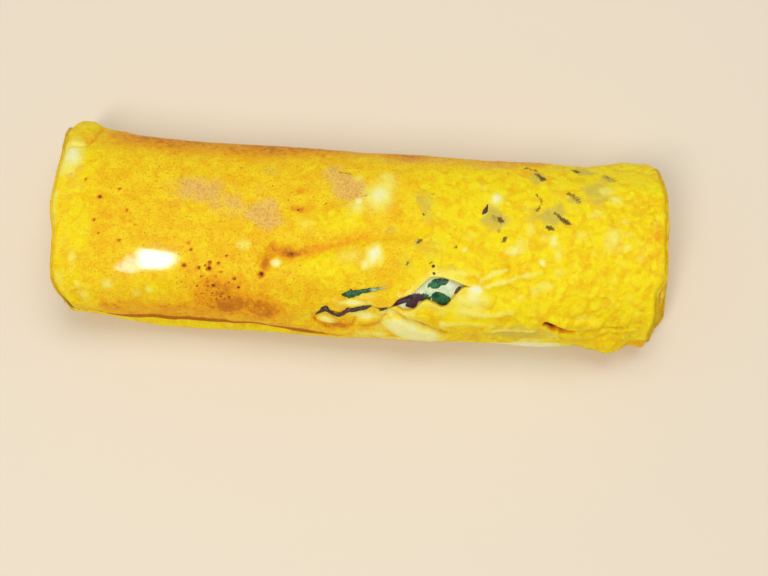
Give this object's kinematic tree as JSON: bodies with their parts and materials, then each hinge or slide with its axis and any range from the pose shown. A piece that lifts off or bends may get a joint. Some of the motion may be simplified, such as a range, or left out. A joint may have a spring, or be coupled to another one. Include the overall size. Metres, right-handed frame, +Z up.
{
  "type": "rolled omelette",
  "caption": "Whole rolled egg omelette with a dark laver sheet wound between its egg layers, lying on a flat underside, with a torn shoulder that bares the laver.",
  "frame": {"origin": "centre of the flat underside that the roll lies on", "axes": "+X along the roll, +Y towards its back, away from the free edge and the tear, +Z up"},
  "size_m": [0.21, 0.0662, 0.0366],
  "materials": {
    "cooked_egg": "moist, lightly browned cooked egg",
    "dried_laver": "moist dark seaweed sheet"
  },
  "bodies": {
    "root": {"egg_roll": "cooked_egg", "laver_sheet": "dried_laver"}
  },
  "joints": []
}
